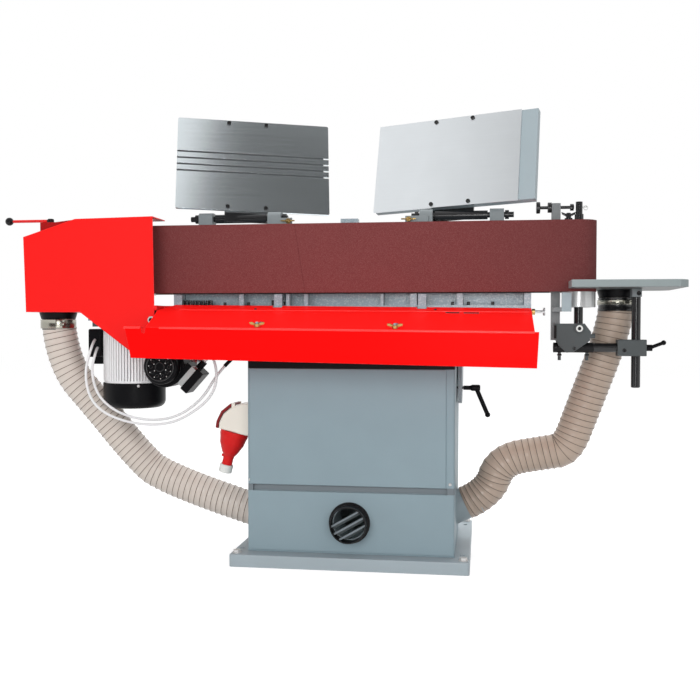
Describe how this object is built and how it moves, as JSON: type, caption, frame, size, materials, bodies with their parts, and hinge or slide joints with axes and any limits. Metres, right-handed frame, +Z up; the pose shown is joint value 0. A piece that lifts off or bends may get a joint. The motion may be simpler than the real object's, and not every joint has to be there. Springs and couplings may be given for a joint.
{
  "type": "edge sander",
  "caption": "Floor-standing edge sander: an upright belt on a tilting head over a column, with drive hood, apron, swing-up plates, end table and dust hoses.",
  "frame": {"origin": "middle of the base plate's underside, on the floor", "axes": "+X along the sanding belt towards the idler end, +Y away from the operator's front, +Z up"},
  "size_m": [2.0095, 0.6869, 1.3158],
  "materials": {
    "grey_paint": "satin",
    "red_paint": "gloss",
    "cast_grey": "hammered paint",
    "brushed": "brushed",
    "steel": "machined",
    "aluminium": "ribbed",
    "black_steel": "blackened",
    "black_plastic": "matte",
    "belt_cloth": "abrasive",
    "graphite": "matte",
    "hose_film": "translucent",
    "cream_plastic": "gloss",
    "red_plastic": "gloss",
    "green_plastic": "gloss",
    "white_cable": "matte",
    "brass": "plain",
    "zinc": "plated",
    "pale_paint": "satin"
  },
  "bodies": {
    "column": {"base_plate": "grey_paint", "base_bolts": "zinc", "column_cabinet": "grey_paint", "front_panel": "grey_paint", "extraction_port": "black_plastic", "dust_manifold": "pale_paint", "inlet_housing": "cream_plastic", "power_connector": "red_plastic", "switch_box": "black_plastic", "tilt_bearings": "cast_grey", "left_hose": "hose_film", "right_hose": "hose_film"},
    "inlet_flap": {"inlet_flap": "red_plastic"},
    "start_button": {"start_button": "green_plastic"},
    "stop_button": {"stop_button": "red_plastic"},
    "tilt_clamp_lever": {"tilt_clamp_lever": "black_plastic"},
    "head": {"tilt_shaft": "steel", "tilt_saddles": "cast_grey", "tilt_sector": "pale_paint", "head_frame": "cast_grey", "platen": "brushed", "graphite_pad": "graphite", "sanding_belt": "belt_cloth", "hood_front": "red_paint", "hood_rear": "red_paint", "hood_port": "black_plastic", "osc_motor": "black_plastic", "apron_arms": "cast_grey", "hinge_blocks": "cast_grey", "plate_lock_screws": "brass", "yoke_bar": "cast_grey", "yoke_cheeks": "cast_grey", "table_bar": "black_steel", "clamp_block": "cast_grey", "motor_cable": "white_cable", "osc_cable": "white_cable"},
    "drive_unit": {"motor_plate": "cast_grey", "motor_body": "aluminium", "motor_fan_cover": "black_plastic", "motor_terminal_box": "black_plastic"},
    "drive_rotor": {"drive_shaft": "steel", "drive_drum": "aluminium"},
    "tension_lever": {"tension_lever": "red_plastic"},
    "osc_crank": {"osc_crank": "steel"},
    "apron": {"front_apron": "red_paint"},
    "left_wing_nut": {"left_wing_nut": "brass"},
    "right_wing_nut": {"right_wing_nut": "brass"},
    "left_plate": {"left_plate": "brushed", "left_bracket": "black_steel"},
    "right_plate": {"right_plate": "brushed", "right_plate_carrier": "pale_paint", "right_bracket": "black_steel"},
    "idler_carrier": {"idler_shaft": "steel", "idler_bearings": "zinc"},
    "idler_rotor": {"idler_drum": "aluminium"},
    "tracking_screw": {"tracking_screw": "black_steel"},
    "end_table": {"table_post": "black_steel", "end_table": "cast_grey", "table_port": "black_plastic"},
    "table_clamp_lever": {"table_clamp_lever": "black_plastic"}
  },
  "joints": [
    {"name": "head_tilt", "type": "hinge", "parent": "column", "child": "head", "pos_m": [0, -0.04, 0.652], "axis": [-1, 0, 0], "range_deg": [0, 90], "deforming": ["left_hose", "right_hose"]},
    {"name": "tilt_clamp", "type": "hinge", "parent": "column", "child": "tilt_clamp_lever", "pos_m": [0.33, -0.04, 0.5], "axis": [1, 0, 0], "range_deg": [-60, 60]},
    {"name": "drive_carriage", "type": "slide", "parent": "head", "child": "drive_unit", "axis": [1, 0, 0], "range_m": [0, 0.009], "deforming": ["motor_cable", "osc_cable"]},
    {"name": "tension_lever", "type": "hinge", "parent": "head", "child": "tension_lever", "pos_m": [-0.95, -0.12, 1], "axis": [0, 0, 1], "range_deg": [0, 90]},
    {"name": "drive_spin", "type": "hinge", "parent": "drive_unit", "child": "drive_rotor", "pos_m": [-0.6805, -0.123, 0.85], "axis": [0, 0, 1], "continuous": true},
    {"name": "tracking_screw", "type": "hinge", "parent": "head", "child": "tracking_screw", "pos_m": [0.57, -0.1415, 1.02], "axis": [1, 0, 0], "range_deg": [-540, 540], "deforming": ["sanding_belt"]},
    {"name": "tracking_tilt", "type": "hinge", "parent": "head", "child": "idler_carrier", "pos_m": [0.64, -0.1415, 0.678], "axis": [0, 1, 0], "range_deg": [-0.4, 0.4], "deforming": ["sanding_belt"]},
    {"name": "idler_spin", "type": "hinge", "parent": "idler_carrier", "child": "idler_rotor", "pos_m": [0.64, -0.1415, 0.85], "axis": [0, 0, 1], "continuous": true},
    {"name": "osc_crank", "type": "hinge", "parent": "head", "child": "osc_crank", "pos_m": [-0.466, -0.172, 0.569], "axis": [1, 0, 0], "continuous": true},
    {"name": "left_plate", "type": "hinge", "parent": "head", "child": "left_plate", "pos_m": [-0.342, -0.13, 1.004], "axis": [1, 0, 0], "range_deg": [-20, 18]},
    {"name": "right_plate", "type": "hinge", "parent": "head", "child": "right_plate", "pos_m": [0.31, -0.13, 1.004], "axis": [1, 0, 0], "range_deg": [-20, 18]},
    {"name": "apron_slide", "type": "slide", "parent": "head", "child": "apron", "axis": [-0.0033, -0.9532, -0.3024], "range_m": [0, 0.045]},
    {"name": "left_wing_nut", "type": "hinge", "parent": "head", "child": "left_wing_nut", "pos_m": [-0.23129, -0.38368, 0.68291], "axis": [0.0105, -0.3024, 0.9531], "continuous": true},
    {"name": "right_wing_nut", "type": "hinge", "parent": "head", "child": "right_wing_nut", "pos_m": [0.14269, -0.38368, 0.6788], "axis": [0.0105, -0.3024, 0.9531], "continuous": true},
    {"name": "table_height", "type": "slide", "parent": "head", "child": "end_table", "axis": [0, 0, 1], "range_m": [-0.006, 0.06], "deforming": ["right_hose"]},
    {"name": "table_clamp", "type": "hinge", "parent": "head", "child": "table_clamp_lever", "pos_m": [0.83, -0.1415, 0.624], "axis": [1, 0, 0], "range_deg": [-60, 60]},
    {"name": "inlet_flap", "type": "hinge", "parent": "column", "child": "inlet_flap", "pos_m": [-0.353, -0.15, 0.4535], "axis": [0, 1, 0], "range_deg": [0, 25]},
    {"name": "start_button", "type": "slide", "parent": "column", "child": "start_button", "axis": [0, -1, 0], "range_m": [0, 0.004], "stiffness_N_per_m": 500, "springref_m": -0.002},
    {"name": "stop_button", "type": "slide", "parent": "column", "child": "stop_button", "axis": [0, -1, 0], "range_m": [0, 0.004], "stiffness_N_per_m": 500, "springref_m": -0.002}
  ],
  "couplings": [
    {"joint": "tension_lever", "follows": "drive_carriage", "rad_per_m": 174.53},
    {"joint": "tracking_tilt", "follows": "tracking_screw", "ratio": 0.00074074},
    {"joint": "idler_spin", "follows": "drive_spin", "ratio": 1.3862}
  ]
}
